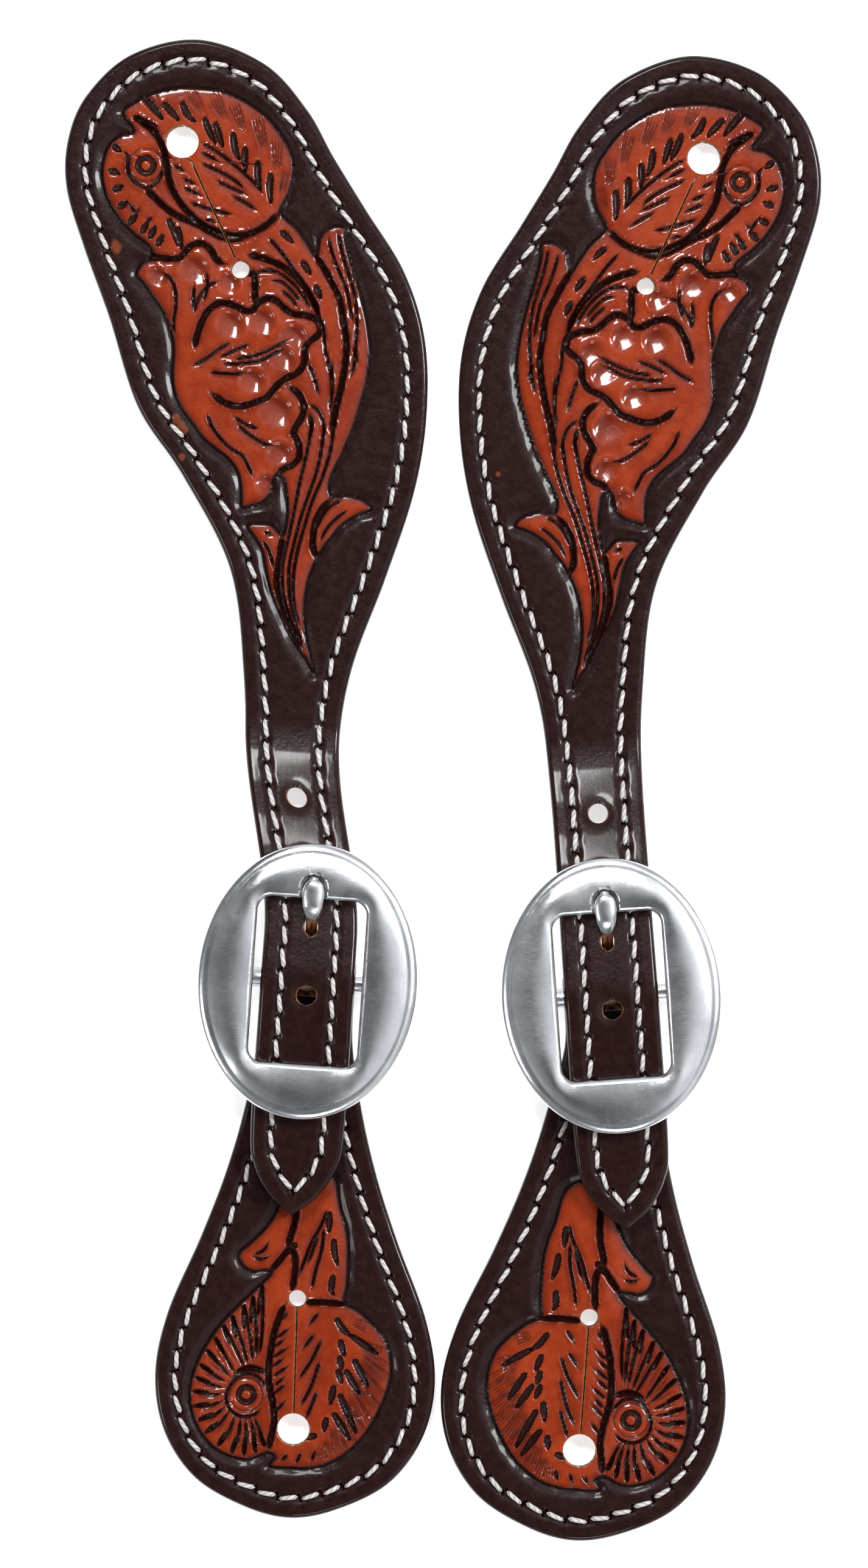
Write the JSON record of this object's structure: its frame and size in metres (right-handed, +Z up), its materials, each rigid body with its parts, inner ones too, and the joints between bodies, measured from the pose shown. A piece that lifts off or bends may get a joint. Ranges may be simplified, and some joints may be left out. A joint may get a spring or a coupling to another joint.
{
  "type": "western spur straps",
  "caption": "Pair of tooled two-layer leather spur straps, each joined by an oval cart buckle, with slit button holes at both ends.",
  "frame": {"origin": "on the surface that the straps lie on, under the middle of the pair", "axes": "+Y from the heel ends towards the wings, +X towards the right strap, +Z up out of the tooled faces"},
  "size_m": [0.1372, 0.2734, 0.0142],
  "materials": {
    "tooled_leather": "floral tooled, dark brown ground with russet motif, glossy top coat",
    "lining_leather": "plain dyed leather, satin",
    "waxed_thread": "off-white waxed thread",
    "stainless_steel": "polished and lightly brushed"
  },
  "bodies": {
    "left_strap": {"left_long_face": "tooled_leather", "left_long_lining": "lining_leather", "left_long_needle_thread": "waxed_thread", "left_long_bobbin_thread": "waxed_thread", "left_buckle_frame": "stainless_steel"},
    "left_heel_strap": {"left_short_face": "tooled_leather", "left_short_lining": "lining_leather", "left_short_needle_thread": "waxed_thread", "left_short_bobbin_thread": "waxed_thread"},
    "left_tongue": {"left_buckle_tongue": "stainless_steel"},
    "right_strap": {"right_long_face": "tooled_leather", "right_long_lining": "lining_leather", "right_long_needle_thread": "waxed_thread", "right_long_bobbin_thread": "waxed_thread", "right_buckle_frame": "stainless_steel"},
    "right_heel_strap": {"right_short_face": "tooled_leather", "right_short_lining": "lining_leather", "right_short_needle_thread": "waxed_thread", "right_short_bobbin_thread": "waxed_thread"},
    "right_tongue": {"right_buckle_tongue": "stainless_steel"}
  },
  "joints": [
    {"name": "left_heel_strap_swing", "type": "hinge", "parent": "left_strap", "child": "left_heel_strap", "pos_m": [-0.02461, -0.0347, 0.0041], "axis": [0.9976, -0.0698, 0], "range_deg": [0, 60]},
    {"name": "left_tongue_pivot", "type": "hinge", "parent": "left_strap", "child": "left_tongue", "pos_m": [-0.02461, -0.0347, 0.0041], "axis": [0.9976, -0.0698, 0], "range_deg": [0, 5]},
    {"name": "right_heel_strap_swing", "type": "hinge", "parent": "right_strap", "child": "right_heel_strap", "pos_m": [0.03049, -0.0373, 0.0041], "axis": [0.9976, 0.0698, 0], "range_deg": [0, 60]},
    {"name": "right_tongue_pivot", "type": "hinge", "parent": "right_strap", "child": "right_tongue", "pos_m": [0.03049, -0.0373, 0.0041], "axis": [0.9976, 0.0698, 0], "range_deg": [0, 5]},
    {"name": "right_strap_moves_apart", "type": "slide", "parent": "left_strap", "child": "right_strap", "axis": [1, 0, 0], "range_m": [0, 0.06]}
  ]
}
